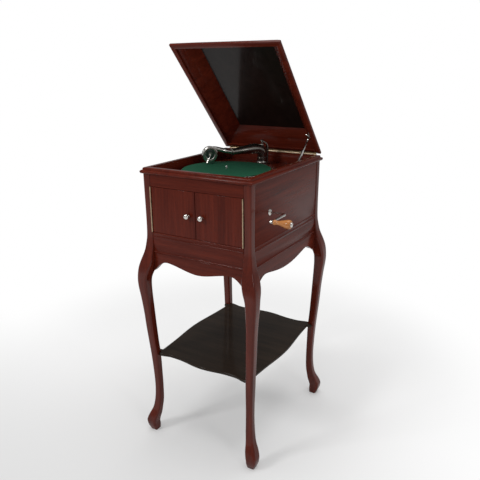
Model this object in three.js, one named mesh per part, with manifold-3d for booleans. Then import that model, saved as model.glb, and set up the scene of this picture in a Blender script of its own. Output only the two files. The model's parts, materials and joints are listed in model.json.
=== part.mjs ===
// Gramophone cabinet on cabriole legs, lid open. Millimetres, +Z up, front face towards -Y, right side +X.
import * as THREE from "three";
import { mergeVertices } from "three/addons/utils/BufferGeometryUtils.js";
import Module from "manifold-3d";
const wasm = await Module();
wasm.setup();

// ---- driving dimensions ----
const W = 406, D = 509; // over the stiles
const POST = 26; // stile, square
const GAP = 0.3; // between pieces that are shaped to each other
const TOP = 976; // top of the stiles
const FLOOR_OF_CASE = 706; // lower edge of the panels
const PANEL = 14.5, RAIL = 16.5; // thickness of the sides, and of the rails and back
const RECESS = 2; // how far they stand back from the stiles
const inX = W / 2 - RECESS - PANEL, inY = D / 2 - RECESS - RAIL; // their inner faces
const DOOR = { z0: 781, z1: 934, thick: 18, y: 1 - D / 2, gap: 1, knobX: 26.5, knobZ: 855 };
const BOARD = { z0: 946, z1: 958 };
const UPSTAND = { x: W / 2 + 1, y: D / 2, thick: 17, top: TOP + 19.5 };
const LID = {
  z: UPSTAND.top + 0.5, rimHigh: 8, rise: 72, inset: 52, panelInset: 66, panelLow: 60,
  y: 0.6, half: D / 2 - 0.7, open: 47.5,
};
const LID_AXIS = { y: D / 2 + 3.2, z: LID.z - 0.25, r: 3 };
const DOOR_AXIS = { x: W / 2 - POST - 1.5, y: -D / 2 - 1.8, r: 2.1 };
const PLATTER = { x: -3.6, y: -59.3, r: 152.4, top: 975.5, felt: 1.5 };
const ARM = { x: 4, y: 176, angle: -121.5, z: 1012, box: 212, boxZ: 1010.3 };
const CRANK = { y: -133, z: 869, x: W / 2 + 55, r: 3.5, handleY: -229, handle0: W / 2 + 61, handle1: W / 2 + 119 };
const STAY = { x: inX - 10.5, thick: 3, long: 130, reach: 100, low: 2.18, closed: 14, open: 50, pin: 2 };
const SHELF = { z0: 310, z1: 320 };
const MODULE = 2.5; // of the motor's wheels
const BARREL = [70, -133], MIDDLE = [37.9, -82.3], SPINDLE = [PLATTER.x, PLATTER.y];

// ---- finishes ----
const finish = (color, roughness, metalness) => ({ color, roughness, metalness });
const MAHOGANY = finish(0x5e2213, 0.25, 0), DARK_WOOD = finish(0x2a110b, 0.35, 0);
const LID_TOP = finish(0x160a08, 0.2, 0);
const RAW_WOOD = finish(0xb08a5c, 0.7, 0), HANDLE_WOOD = finish(0xc07a3c, 0.35, 0);
const BRASS = finish(0xc79a4a, 0.3, 1), NICKEL = finish(0xcfcfcc, 0.2, 1), STEEL = finish(0x8d8f91, 0.4, 1);
const IRON = finish(0x2a2b2c, 0.6, 0.6), FELT = finish(0x2f5a3c, 0.95, 0), MICA = finish(0x24382e, 0.3, 0);

// ---- solids ----
const V = (x, y, z) => new THREE.Vector3(x, y, z);
const rad = (degrees) => (degrees * Math.PI) / 180;

/** A closed three.js geometry as a solid that faces out. */
function solid(geometry) {
  const bare = geometry.clone();
  bare.deleteAttribute("normal");
  bare.deleteAttribute("uv");
  const merged = mergeVertices(bare, 1e-4);
  const found = [];
  for (let i = 0; i < merged.index.count; i += 3) {
    const [a, b, c] = merged.index.array.slice(i, i + 3);
    if (a !== b && b !== c && a !== c) found.push([a, b, c]);
  }
  const made = (faces) =>
    new wasm.Manifold(
      new wasm.Mesh({
        numProp: 3,
        vertProperties: merged.attributes.position.array,
        triVerts: Uint32Array.from(faces.flat()),
      }),
    );
  const first = made(found);
  return first.volume() > 0 ? first : made(found.map(([a, b, c]) => [a, c, b]));
}

const join = (...solids) => solids.flat().reduce((all, one) => all.add(one));
const cut = (body, ...tools) => tools.flat().reduce((left, tool) => left.subtract(tool), body);
const mirrorX = (body) => body.mirror([1, 0, 0]);
const mirrorY = (body) => body.mirror([0, 1, 0]);

/** A box between two corners. */
const box = (x0, x1, y0, y1, z0, z1) =>
  wasm.Manifold.cube([x1 - x0, y1 - y0, z1 - z0]).translate([x0, y0, z0]);

/** An outline of [u, v] points drawn out along an axis: x takes (y, z), y takes (x, z), z takes (x, y). */
function prism(outline, axis, from, to) {
  const shape = new THREE.Shape(outline.map(([u, v]) => new THREE.Vector2(u, v)));
  const drawn = new THREE.ExtrudeGeometry(shape, { depth: to - from, bevelEnabled: false });
  drawn.translate(0, 0, from);
  return solid(drawn.applyMatrix4(AXES[axis]));
}
const AXES = {
  x: new THREE.Matrix4().set(0, 0, 1, 0, 1, 0, 0, 0, 0, 1, 0, 0, 0, 0, 0, 1),
  y: new THREE.Matrix4().set(1, 0, 0, 0, 0, 0, 1, 0, 0, 1, 0, 0, 0, 0, 0, 1),
  z: new THREE.Matrix4(),
};

const circle = ([u, v], r, n) =>
  Array.from({ length: n }, (_, i) => [
    u + r * Math.cos((2 * Math.PI * i) / n),
    v + r * Math.sin((2 * Math.PI * i) / n),
  ]);
const rod = (axis, centre, from, to, r, n = 24) => prism(circle(centre, r, n), axis, from, to);

/** A profile of [radius, height] points turned round an axis through centre. */
function turned(profile, axis, [u, v], n = 24) {
  const g = new THREE.LatheGeometry(profile.map(([r, w]) => new THREE.Vector2(r, w)), n);
  const lay = {
    x: new THREE.Matrix4().set(0, 1, 0, 0, 1, 0, 0, u, 0, 0, 1, v, 0, 0, 0, 1),
    y: new THREE.Matrix4().set(1, 0, 0, u, 0, 1, 0, 0, 0, 0, 1, v, 0, 0, 0, 1),
    z: new THREE.Matrix4().set(1, 0, 0, u, 0, 0, 1, v, 0, 1, 0, 0, 0, 0, 0, 1),
  };
  return solid(g.applyMatrix4(lay[axis]));
}

/** Rings of the same number of points joined into one body with flat ends. */
function loft(rings) {
  const n = rings[0].length;
  const points = rings.flat();
  const faces = [];
  for (let k = 0; k + 1 < rings.length; k++)
    for (let i = 0; i < n; i++) {
      const a = k * n + i, b = k * n + ((i + 1) % n);
      faces.push([a, b, b + n], [a, b + n, a + n]);
    }
  for (const [start, turn] of [[0, 1], [(rings.length - 1) * n, 0]]) {
    const centre = V(0, 0, 0);
    for (let i = 0; i < n; i++) centre.addScaledVector(points[start + i], 1 / n);
    points.push(centre);
    for (let i = 0; i < n; i++) {
      const face = [start + i, start + ((i + 1) % n), points.length - 1];
      faces.push(turn ? face.reverse() : face);
    }
  }
  const g = new THREE.BufferGeometry().setFromPoints(points);
  return solid(g.setIndex(faces.flat()));
}

/** A round bar along a path, with a radius for each point of it. */
function tube(path, radii, n = 14) {
  let across = V(0, 0, 1);
  const rings = path.map((point, i) => {
    const next = path[Math.min(i + 1, path.length - 1)], last = path[Math.max(i - 1, 0)];
    const along = next.clone().sub(last).normalize();
    if (i === 0 && Math.abs(along.z) > 0.9) across = V(1, 0, 0);
    across.addScaledVector(along, -across.dot(along)).normalize();
    const side = along.clone().cross(across);
    const r = Array.isArray(radii) ? radii[i] : radii;
    return circle([0, 0], r, n).map(([u, v]) =>
      point.clone().addScaledVector(across, u).addScaledVector(side, v));
  });
  return loft(rings);
}
const smooth = (points, n) =>
  new THREE.CatmullRomCurve3(points.map((p) => V(...p)), false, "centripetal").getPoints(n);

/** A profile of [inset, height] points carried round a rectangle with mitred corners. */
function frame(profile, x, y, middle = 0) {
  const corners = [[1, 1], [-1, 1], [-1, -1], [1, -1]];
  const n = profile.length;
  const points = corners.flatMap(([sx, sy]) =>
    profile.map(([inset, z]) => V(sx * (x - inset), middle + sy * (y - inset), z)));
  const faces = [];
  for (let k = 0; k < 4; k++)
    for (let i = 0; i < n; i++) {
      const a = k * n + i, b = k * n + ((i + 1) % n), next = (((k + 1) % 4) - k) * n;
      faces.push([a, b, b + next], [a, b + next, a + next]);
    }
  return solid(new THREE.BufferGeometry().setFromPoints(points).setIndex(faces.flat()));
}

/** The bump of a half-round bead on a line that runs up through u. */
const bead = (u, z, r, side = 1) =>
  [-90, -45, 0, 45, 90].map((a) => [u + side * r * Math.cos(rad(a)), z + r * Math.sin(rad(a))]);

/** A strip of half width w along [u, v] points, with round ends. */
function strip(points, w, axis, from, to) {
  const last = points.length - 1;
  const heading = points.map((_, i) => {
    const a = points[Math.max(i - 1, 0)], b = points[Math.min(i + 1, last)];
    return Math.atan2(b[1] - a[1], b[0] - a[0]);
  });
  const off = (i, turn) =>
    [points[i][0] + w * Math.cos(heading[i] + turn), points[i][1] + w * Math.sin(heading[i] + turn)];
  const left = points.map((_, i) => off(i, Math.PI / 2)), right = points.map((_, i) => off(i, -Math.PI / 2));
  const cap = (i, side) => [1, 2, 3, 4, 5].map((k) => off(i, (side * Math.PI) / 2 - (k * Math.PI) / 6));
  return prism([...left, ...cap(last, 1), ...right.reverse(), ...cap(0, -1)], axis, from, to);
}

const pieces = new THREE.Group();
function put(name, look, body) {
  const made = body.getMesh();
  const g = new THREE.BufferGeometry();
  g.setAttribute("position", new THREE.BufferAttribute(made.vertProperties, 3));
  g.setIndex(new THREE.BufferAttribute(made.triVerts, 1));
  const mesh = new THREE.Mesh(g, new THREE.MeshStandardMaterial(look));
  mesh.name = name;
  pieces.add(mesh);
}

// ---- legs: [height, how far out of the corner, how far in, corner radius], along the diagonal ----
const IN = -POST * Math.SQRT2;
const LEG = [
  [0, 26, -8, 5], [10, 31, -9, 7], [20, 36, -9, 8], [32, 39, -8, 9], [42, 39.5, -10, 9], [52, 36, -13, 9],
  [64, 30, -17, 8], [90, 15, -22, 7], [125, 6, -27, 6], [180, 2, -28, 6], [240, 4, -27, 6], [310, 9, -25, 6],
  [370, 15, -20, 6], [430, 21, -16, 7], [480, 25, -13, 7], [540, 32, -9.5, 8], [580, 38, -8, 9],
  [598, 39.5, -8.5, 9], [612, 39.5, -10, 9], [626, 38.5, -15, 9], [640, 36.5, -22, 9], [655, 33, -28, 8],
  [670, 27.5, -33, 7], [684, 21.5, IN, 6], [700, 14, IN, 5], [716, 8, IN, 4], [740, 2.5, IN, 3.5],
  [764, 0, IN, 3], [TOP, 0, IN, 3],
];
function legAt(grow) {
  const rings = LEG.map(([z, out, into, r]) => {
    const middle = (out + into) / 2 / Math.SQRT2;
    const sharp = r * (Math.SQRT2 - 1);
    // the stile is a true square of POST; lower down the diagonal is what was measured
    const half = z >= 764 ? POST / 2 + grow : (Math.SQRT2 * ((out - into) / 2 + sharp)) / 2 + grow;
    const x = W / 2 + middle, y = D / 2 + middle;
    return [[1, 1, 0], [-1, 1, 90], [-1, -1, 180], [1, -1, 270]].flatMap(([sx, sy, start]) =>
      [0, 45, 90].map((a) =>
        V(
          x + sx * (half - r) + r * Math.cos(rad(start + a)),
          y + sy * (half - r) + r * Math.sin(rad(start + a)), z)));
  });
  return loft(rings);
}
const leg = legAt(0), legRoom = legAt(GAP);
const atCorners = (body) => ({
  leg_front_left: mirrorX(mirrorY(body)),
  leg_front_right: mirrorY(body),
  leg_rear_left: mirrorX(body),
  leg_rear_right: body,
});
for (const [name, body] of Object.entries(atCorners(leg))) put(name, MAHOGANY, body);
const legRooms = Object.values(atCorners(legRoom));

// ---- case ----
const beads = (u, side) => [...bead(u, 711, 3, side), ...bead(u, 765, 1.8, side), ...bead(u, 777, 1.8, side)];
const openX = W / 2 - POST, openY = D / 2 - POST; // between the stiles
const shaftHole = rod("x", [CRANK.y, CRANK.z], 0, W, CRANK.r + 1, 32);
const sidePanel = prism(
  [[inX, FLOOR_OF_CASE], [inX + PANEL, FLOOR_OF_CASE], ...beads(inX + PANEL, 1), [inX + PANEL, TOP], [inX, TOP]],
  "y", -openY + GAP, openY - GAP);
put("side_panel_left", MAHOGANY, cut(mirrorX(sidePanel), legRooms));
put("side_panel_right", MAHOGANY, cut(sidePanel, legRooms, shaftHole));
const faceY = D / 2 - RECESS;
const rail = (z0, z1, bumps) => cut(
  prism([[inY, z0], [faceY, z0], ...bumps, [faceY, z1], [inY, z1]], "x", -openX + GAP, openX - GAP), legRooms);
put("back_panel", MAHOGANY, rail(FLOOR_OF_CASE, TOP, []));
put("front_top_rail", MAHOGANY, mirrorY(rail(DOOR.z1 + 1, TOP, [])));
put("front_lower_rail", MAHOGANY, mirrorY(rail(FLOOR_OF_CASE, DOOR.z0 - 1, beads(faceY, 1))));
const cornerRoom = (grow) => [1, -1].flatMap((sx) => [1, -1].map((sy) => {
  const x = [sx * (openX - grow), sx * W], y = [sy * (openY - grow), sy * D];
  return box(Math.min(...x), Math.max(...x), Math.min(...y), Math.max(...y), 0, TOP);
}));
const floorPiece = (x, y, z0, z1) => cut(box(-x, x, -y, y, z0, z1), cornerRoom(GAP));
put("bottom_board", RAW_WOOD, cut(floorPiece(inX, inY, FLOOR_OF_CASE, 718), legRooms));

// ---- aprons: [distance from the middle, height] of the wavy lower edge ----
const FRONT_EDGE = [[0, 656], [20, 657.5], [40, 661], [60, 665.5], [83, 671], [105, 675.5], [124, 677.5], [138, 675],
  [150, 668.5], [162, 658.5], [174, 646], [190, 634]];
const SIDE_EDGE = [[0, 649.5], [24, 650], [48, 652], [72, 655], [95, 659], [118, 663.5], [140, 667.5], [158, 669.5],
  [174, 666.5], [188, 659.5], [202, 651.5], [218, 644], [234.2, 638]];
const APRON = 18, apronTop = FLOOR_OF_CASE;
const frontEnd = W / 2 - POST / 2, sideEnd = faceY - APRON - GAP; // where the aprons end, in the legs
function apron(edge, end, axis, from, to) {
  const stretch = end / edge.at(-1)[0];
  const curve = smooth(edge.map(([u, z]) => [u * stretch, z, 0]), 24).map((p) => [p.x, p.y]);
  const left = curve.slice(1).map(([u, z]) => [-u, z]).reverse();
  return cut(prism([...left, ...curve, [end, apronTop], [-end, apronTop]], axis, from, to), legRooms);
}
put("apron_front", MAHOGANY, apron(FRONT_EDGE, frontEnd, "y", -faceY, -faceY + APRON));
put("apron_rear", MAHOGANY, apron(FRONT_EDGE, frontEnd, "y", faceY - APRON, faceY));
put("apron_left", MAHOGANY, apron(SIDE_EDGE, sideEnd, "x", -inX - PANEL, -inX - PANEL + APRON));
put("apron_right", MAHOGANY, apron(SIDE_EDGE, sideEnd, "x", inX + PANEL - APRON, inX + PANEL));

// ---- lower shelf ----
// [how far in from the stiles' outer face, how far along] from the middle of a side to its end, as wide as W and D
const SHELF_SIDE = [[-0.5, 0], [0.5, 35], [4, 75], [7.5, 108], [10.5, 140], [12.5, 170], [14.5, 200], [15, 221]];
const SHELF_FRONT = [[3.5, 176], [6, 163], [12, 140], [12.7, 115], [11.5, 88], [6.5, 55], [2, 28], [0.2, 0]];
const sideLong = D / 2 - 33.5, frontLong = W / 2 - 27; // where the two wavy edges end
const sideEdge = ([inset, y]) => [W / 2 - inset, (y * sideLong) / SHELF_SIDE.at(-1)[1], 0];
const frontEdge = ([inset, x]) => [(x * frontLong) / SHELF_FRONT[0][1], D / 2 - inset, 0];
// a small ear before the leg's face, then the corner that the leg takes up
const ear = [[-0.5, 31.5], [-0.5, 23.5], [13, 5.5]].map(([x, y]) => [W / 2 - x, D / 2 - y]);
const quarter = [...smooth(SHELF_SIDE.map(sideEdge), 14).map((p) => [p.x, p.y]), ...ear,
  ...smooth(SHELF_FRONT.map(frontEdge), 14).map((p) => [p.x, p.y])];
const half = [...quarter, ...quarter.slice(0, -1).reverse().map(([x, y]) => [-x, y])];
const round = [...half, ...half.slice(1, -1).reverse().map(([x, y]) => [x, -y])];
put("lower_shelf", DARK_WOOD, cut(prism(round, "z", SHELF.z0, SHELF.z1), legRooms));

// ---- top rim: the waist moulding and the upstand above it ----
const rimProfile = [
  [UPSTAND.thick + 0.5, TOP], [-4, TOP], [-6.4, TOP + 2.3], [-7.2, TOP + 5.5], [-6.4, TOP + 8.7], [-3, TOP + 11],
  [0, TOP + 12], [0, UPSTAND.top - 4], [1.2, UPSTAND.top - 1.2], [4, UPSTAND.top],
  [UPSTAND.thick, UPSTAND.top], [UPSTAND.thick, TOP + 9], [UPSTAND.thick + 0.5, TOP + 8],
];
const LEAF = { half: inX - 0.5, y0: LID_AXIS.y - 9.7, thick: 1.2 }; // of the lid's hinge
put("rim_frame", MAHOGANY, cut(frame(rimProfile, UPSTAND.x, UPSTAND.y),
  box(-W, W, LEAF.y0 - 1, LID_AXIS.y + 5, LID.z - 1.8, LID.z + 4)));
put("motor_board", MAHOGANY, cut(floorPiece(inX - GAP, inY - GAP, BOARD.z0, BOARD.z1),
  rod("z", SPINDLE, 900, 1000, 9), rod("z", [ARM.x, ARM.y], 900, 1000, 16, 32)));
put("board_bearers", RAW_WOOD, cut(frame([[0, 926], [0, BOARD.z0], [14, BOARD.z0], [14, 926]], inX, inY - 0.8),
  cornerRoom(GAP)));

// ---- doors, their knobs and hinges: the right-hand one is made and mirrored ----
const doorEdge = DOOR_AXIS.x - 1.6;
const door = box(DOOR.gap, doorEdge, DOOR.y, DOOR.y + DOOR.thick, DOOR.z0, DOOR.z1);
// [radius, how far out from the door]
const KNOB = [[0, 0], [4, 0], [4, 1], [2.8, 2.5], [2.8, 4], [6.5, 6], [8.8, 9], [9.3, 12], [8.3, 15.5], [5, 18], [0, 19]];
const knob = turned(KNOB.map(([r, out]) => [r, DOOR.y - out]), "y", [DOOR.knobX, DOOR.knobZ], 24);

/** Knuckles of a hinge along its axis, every other one, and the room the other leaf's ones need. */
function knuckles(axis, centre, from, to, count, r, odd) {
  const step = (to - from) / count, mine = [], others = [];
  for (let i = 0; i < count; i++) {
    const a = from + i * step, b = a + step;
    if ((i % 2 === 1) === odd) mine.push(rod(axis, centre, a + (i ? 0.15 : 0), b - (i < count - 1 ? 0.15 : 0), r, 12));
    else others.push(rod(axis, centre, a - 0.15, b + 0.15, r + GAP, 12));
  }
  return { mine, others };
}
const PIN = 1.2, PIN_ROOM = 1.265; // hinge pin and the bore it turns in
const hingeAt = [DOOR_AXIS.x, DOOR_AXIS.y];
const doorKnuckles = (odd) => knuckles("z", hingeAt, DOOR.z0, DOOR.z1, 7, DOOR_AXIS.r, odd);
const doorPin = (r) => rod("z", hingeAt, DOOR.z0 - 1, DOOR.z1 + 1, r, 12);
const doorPlate = (off) => box(
  DOOR_AXIS.x + off, DOOR_AXIS.x + off + 1.1, DOOR_AXIS.y, DOOR_AXIS.y + 18.3, DOOR.z0, DOOR.z1);
const fixedLeaf = join(
  cut(doorPlate(0.1), doorKnuckles(false).others),
  doorKnuckles(false).mine, rod("z", hingeAt, DOOR.z0, DOOR.z1, PIN, 12));
const doorLeaf = cut(join(
  cut(doorPlate(-1.3), doorKnuckles(true).others),
  doorKnuckles(true).mine), doorPin(PIN_ROOM));
for (const [side, turn] of [["left", mirrorX], ["right", (body) => body]]) {
  put("door_" + side, MAHOGANY, turn(door));
  put("door_knob_" + side, NICKEL, turn(knob));
  put("door_hinge_fixed_leaf_" + side, BRASS, turn(fixedLeaf));
  put("door_hinge_door_leaf_" + side, BRASS, turn(doorLeaf));
}

// ---- lid: made shut, then turned open about its hinge ----
const opened = (body, angle = LID.open) =>
  body.translate([0, -LID_AXIS.y, -LID_AXIS.z]).rotate([-angle, 0, 0]).translate([0, LID_AXIS.y, LID_AXIS.z]);
const lidHigh = LID.z + LID.rimHigh;
const lidLeafRoom = box(-LEAF.half - 4, LEAF.half + 4, LEAF.y0 - 1, LID_AXIS.y + 5, LID.z - 1, LID.z + 1.6);
const thick = UPSTAND.thick; // the lid's rim is as wide as the upstand that it closes on
put("lid_rim", MAHOGANY, opened(cut(
  frame([[0, LID.z + 1], [0, lidHigh], [thick, lidHigh], [thick, LID.z + 1], [thick - 1, LID.z], [1, LID.z]],
    UPSTAND.x, LID.half, LID.y), lidLeafRoom)));
put("lid_slopes", MAHOGANY, opened(frame([
  [0, lidHigh + GAP], [LID.inset, LID.z + LID.rise], [LID.panelInset, LID.z + LID.rise],
  [LID.panelInset, LID.z + LID.panelLow], [thick, lidHigh + GAP]], UPSTAND.x, LID.half, LID.y)));
const panelX = UPSTAND.x - LID.panelInset - GAP, panelY = LID.half - LID.panelInset - GAP;
put("lid_top_panel", LID_TOP, opened(
  box(-panelX, panelX, LID.y - panelY, LID.y + panelY, LID.z + LID.panelLow, LID.z + LID.rise)));

const lidHingeAt = [LID_AXIS.y, LID_AXIS.z];
const lidPlate = (z) => box(-LEAF.half, LEAF.half, LEAF.y0, LID_AXIS.y, z, z + LEAF.thick);
const lidKnuckles = (odd) => knuckles("x", lidHingeAt, -LEAF.half, LEAF.half, 11, LID_AXIS.r, odd);
put("lid_hinge_fixed_leaf", BRASS, join(
  cut(lidPlate(LID.z - 1.8), lidKnuckles(false).others),
  lidKnuckles(false).mine, rod("x", lidHingeAt, -LEAF.half, LEAF.half, PIN, 12)));
put("lid_hinge_lid_leaf", BRASS, opened(cut(join(
  cut(lidPlate(LID.z + 0.1), lidKnuckles(true).others),
  lidKnuckles(true).mine), rod("x", lidHingeAt, -LEAF.half - 1, LEAF.half + 1, PIN_ROOM, 12))));

// ---- lid stay: a bar that turns on a lid bracket, its lower pin in a curved track ----
const stayTop = (angle) => [
  LID_AXIS.y - STAY.reach * Math.cos(rad(angle + STAY.low)), LID_AXIS.z + STAY.reach * Math.sin(rad(angle + STAY.low))];
const stayAngle = (angle) => STAY.closed + ((STAY.open - STAY.closed) * angle) / LID.open;
/** A point of the bar, s along it from the top pin and n below it, with the lid at an angle. */
function onStay([s, n], angle) {
  const [y, z] = stayTop(angle), a = rad(stayAngle(angle));
  return [y - s * Math.cos(a) + n * Math.sin(a), z - s * Math.sin(a) - n * Math.cos(a)];
}
const bar = (points, w) =>
  strip(points.map((p) => onStay(p, LID.open)), w, "x", STAY.x - STAY.thick / 2, STAY.x + STAY.thick / 2);
const bolt = (at, from, to, r, n) => rod("x", at, STAY.x + from, STAY.x + to, r, n);
const stayLow = onStay([STAY.long, 0], LID.open), stayHigh = stayTop(LID.open);
const STAY_PIN_ROOM = STAY.pin + 0.06;
put("lid_stay_bar", NICKEL, join(cut(join(
  bar([[0, 0], [1, 9], [6, 17], [13, 18], [24, 15], [62, 9]], 2.6), bar([[0, 0], [0.5, 0]], 4.6),
  cut(bar([[62, 9], [STAY.long, 0]], 5.2), bolt(onStay([84, 6.1], LID.open), -6, 4, 1.6, 10)),
), bolt(stayHigh, -6, 9, STAY_PIN_ROOM)), bolt(stayLow, 0, 8.6, STAY.pin)));
const bracketFoot = opened(
  box(STAY.x + 5, UPSTAND.x - thick - GAP, LID_AXIS.y - 112, LID_AXIS.y - 88, LID.z + 0.5, lidHigh - 0.5));
put("lid_stay_bracket", NICKEL, join(bracketFoot, bolt(stayHigh, 2.4, 8, 4.2), bolt(stayHigh, -3, 8, STAY.pin),
  bolt(stayHigh, -3.6, -2, 3.6)));
const track = Array.from({ length: 13 }, (_, i) => onStay([STAY.long, 0], (LID.open * i) / 12));
const beyond = (a, b, d) => {
  const l = Math.hypot(a[0] - b[0], a[1] - b[1]);
  return [a[0] + ((a[0] - b[0]) / l) * d, a[1] + ((a[1] - b[1]) / l) * d];
};
const trackEnds = (d) => [beyond(track[0], track[1], d), ...track, beyond(track[12], track[11], d)];
const trackScrews = [beyond(track[0], track[1], 8), beyond(track[12], track[11], 8)];
put("lid_stay_track", NICKEL, join(
  cut(strip(trackEnds(6), 5.2, "x", STAY.x + 4.5, STAY.x + 7),
    strip(trackEnds(0.06), STAY_PIN_ROOM, "x", STAY.x, inX)),
  trackScrews.map((p) => rod("x", p, STAY.x + 4.5, inX, 4.4, 16))));

// ---- turntable ----
const P = PLATTER, plate = P.top, hub = plate - 13.5;
put("turntable_plate", NICKEL, turned([
  [3.9, hub], [15, hub], [15, plate - 3.5], [P.r - 3, plate - 3.5], [P.r - 3, plate - 13], [P.r, plate - 13],
  [P.r, plate - 1], [P.r - 1, plate], [3.9, plate], [3.9, hub]], "z", SPINDLE, 40));
put("turntable_felt", FELT, turned([[3.9, plate], [P.r - 2.4, plate], [P.r - 2.4, plate + P.felt],
  [3.9, plate + P.felt], [3.9, plate]], "z", SPINDLE, 40));

// ---- tone arm: laid along +X from its pivot, the sound box facing +Y, then turned to where it rests ----
const onArm = (body) => body.rotate([0, 0, ARM.angle]).translate([ARM.x, ARM.y, 0]);
const Z = ARM.z, deck = BOARD.z1;
const yoke = smooth([
  [-22, 0, deck + 2], [-22.5, 0, deck + 20], [-22.5, 0, Z - 12], [-22, 0, Z + 6], [-18, 0, Z + 19],
  [-9, 0, Z + 26.5], [0, 0, Z + 28]], 12);
const yokeBody = loft(yoke.map((p, i) => {
  const a = yoke[Math.max(i - 1, 0)], b = yoke[Math.min(i + 1, 12)];
  const across = V(b.z - a.z, 0, a.x - b.x).normalize().multiplyScalar(2);
  return [[1, 5], [-1, 5], [-1, -5], [1, -5]].map(([k, y]) => V(p.x + k * across.x, y, p.z + k * across.z));
}));
const bore = (path, radii, r) => tube(path, radii.map((v) => v - r), 14);
const elbow = [V(0, 0, Z - 27.4),
  ...smooth([[0, 0, Z - 24], [1, 0, Z - 11], [10, 0, Z + 1], [30, 0, Z + 5.5], [126, 0, Z]], 12)];
const elbowR = [17, 17.4, 18, 18.4, 18.6, 18.6, 18.6, 18.5, 18.5, 18.5, 18.5, 15.6, 12.8, 10.5];
put("tone_arm_base", NICKEL, onArm(join(
  turned([
    [13, 0], [30, 0], [30, 2], [27, 5], [20, 7], [18.5, 12], [18.5, 23], [20, 24], [20, 26], [13, 26], [13, 0],
  ].map(([r, up]) => [r, deck + up]), "z", [0, 0], 24),
  yokeBody, turned([[0, 21], [2.6, 21], [2.6, 29], [6, 30], [6.4, 34], [4, 36], [0, 36.4]]
    .map(([r, up]) => [r, Z + up]), "z", [0, 0], 16))));
put("tone_arm_tube", NICKEL, onArm(cut(join(
  tube(elbow, elbowR), turned([[0, Z + 10], [6.5, Z + 10], [6, Z + 20.4], [0, Z + 20.4]], "z", [0, 0], 16),
  turned([[0, 118], [12.4, 118], [13, 119.5], [13, 125], [12.4, 126.4], [0, 126.4]], "x", [0, Z])),
  bore([V(0, 0, Z - 29), ...elbow.slice(1, -1), V(130, 0, Z)], elbowR, 2))));
const NECK_Z = ARM.boxZ;
const neck = smooth([[126.8, 0, Z], [148, -1, Z + 5], [166, -6, Z + 10], [182, -16.5, Z + 14], [196, -23.5, Z + 14],
  [208, -26.5, Z + 7], [212, -22, NECK_Z + 1], [212, -9.3, NECK_Z]], 20);
const neckR = neck.map((_, i) => 8 - Math.max(0, i - 8) * 0.2);
put("gooseneck", NICKEL, onArm(cut(tube(neck, neckR, 12),
  tube([V(125, 0, Z - 0.4), ...neck.slice(1, 20), V(212, -8, NECK_Z)], neckR.map((r) => r - 1.8), 12))));
const boxAt = [ARM.box, NECK_Z];
put("sound_box_housing", NICKEL, onArm(turned([[6.2, -9], [24, -9], [28.5, -6.5], [28.5, 2], [25.5, 2], [25.5, -3],
  [10, -5.5], [6.2, -5.5], [6.2, -9]], "y", boxAt, 32)));
put("sound_box_front_ring", NICKEL, onArm(turned(
  [[17, 2.3], [28.5, 2.3], [28, 4], [25.5, 4.6], [18.5, 4.6], [17, 4], [17, 2.3]], "y", boxAt, 32)));
put("diaphragm", MICA, onArm(turned([[0, 0.6], [25.2, 0.6], [25.2, 1.6], [0, 1.6]], "y", boxAt, 32)));
const down = [0.45, -0.893]; // towards the needle tip, in the plane of the sound box
const radial = (r, y) => V(ARM.box + down[0] * r, y, NECK_Z + down[1] * r);
put("needle_bar", NICKEL, onArm(cut(join(
  tube([radial(0, 1.9), radial(0, 3.2)], 7, 20),
  tube([radial(0, 2.5), radial(0, 4), radial(3, 7), radial(12, 8), radial(24, 8)], [2.2, 2, 1.7, 1.7, 1.9], 10),
  tube([radial(23, 8), radial(32.5, 8)], 3.2, 12)), tube([radial(26, 8), radial(34, 8)], 1.1, 12))));
put("needle", STEEL, onArm(tube([radial(26.4, 8), radial(34, 8), radial(37, 8)], [0.8, 0.8, 0.15], 8)));
put("needle_screw", NICKEL, onArm(tube([radial(29, 11.6), radial(29, 14.5), radial(29, 14.6), radial(29, 18)],
  [1.2, 1.2, 2.8, 2.8], 12)));

// ---- brake beside the turntable ----
const brakeRay = V(1, 0, 0).applyAxisAngle(V(0, 0, 1), rad(-35.85));
const brakeFar = P.r + 16.13; // from the spindle to the pivot
const BRAKE = [P.x + brakeRay.x * brakeFar, P.y + brakeRay.y * brakeFar];
const fromBrake = (d, side = 0) =>
  [BRAKE[0] + brakeRay.x * d - brakeRay.y * side, BRAKE[1] + brakeRay.y * d + brakeRay.x * side];
put("brake_lever", NICKEL, join(
  rod("z", BRAKE, deck + GAP, plate + 4.5, 4.4, 16), strip([BRAKE, fromBrake(20)], 2.6, "z", plate + 1.5, plate + 4.5),
  strip([BRAKE, fromBrake(-13.5, 4)], 2.4, "z", plate - 9.5, plate - 5.5),
  rod("z", fromBrake(20), plate + 0.5, plate + 6, 3.4, 16)));

// ---- crank ----
const shaftAt = [CRANK.y, CRANK.z], handleAt = [CRANK.handleY, CRANK.z];
const CRANK_ROOM = CRANK.r + 0.055, panelFace = inX + PANEL; // the crank's bore and the outer face of the side
const bevel = BARREL[0] + 18; // the shaft's inner end, with the wheel that meets the winding arbor's
put("crank_escutcheon", NICKEL, turned(
  [[CRANK_ROOM, GAP], [10.5, GAP], [10, 2], [6.5, 4], [CRANK_ROOM, 4], [CRANK_ROOM, GAP]]
    .map(([r, out]) => [r, panelFace + out]), "x", shaftAt, 20));
const crankPath = [V(bevel, CRANK.y, CRANK.z), V(CRANK.x - 14, CRANK.y, CRANK.z), ...smooth([
  [CRANK.x - 12, CRANK.y, CRANK.z], [CRANK.x - 5, CRANK.y - 2, CRANK.z], [CRANK.x - 1, CRANK.y - 7, CRANK.z],
  [CRANK.x, CRANK.y - 15, CRANK.z]], 6), V(CRANK.x, CRANK.handleY + 1, CRANK.z)];
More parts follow.
